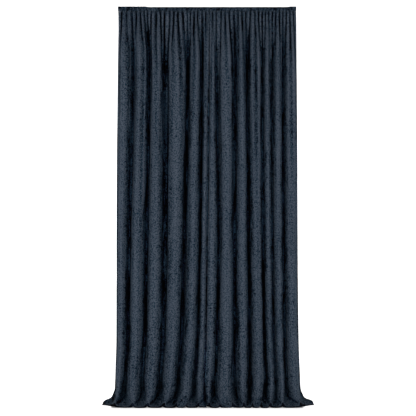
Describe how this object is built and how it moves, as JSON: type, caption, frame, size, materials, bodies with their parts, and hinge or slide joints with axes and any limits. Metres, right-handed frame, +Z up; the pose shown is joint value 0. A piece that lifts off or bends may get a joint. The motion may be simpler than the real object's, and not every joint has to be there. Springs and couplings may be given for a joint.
{
  "type": "velvet backdrop drape",
  "caption": "Dark velvet drapes gathered on rod pockets along a shared rod line, meeting in the middle and hanging in deep soft folds that open into lobes at the floor.",
  "frame": {"origin": "middle of the rod line, on the axis that a rod through both pockets would have", "axes": "+Z up, X along the rod line with +X to the right as seen from the room, -Y towards the room"},
  "size_m": [1.5602, 0.1934, 2.9316],
  "materials": {
    "panel_velvet": "crushed velvet pile, dark slate navy",
    "pocket_velvet": "crushed velvet pile turned over and sewn down, dark slate navy"
  },
  "bodies": {
    "root": {"panel_left": "panel_velvet", "panel_right": "panel_velvet", "rod_pocket_left": "pocket_velvet", "rod_pocket_right": "pocket_velvet"}
  },
  "joints": []
}
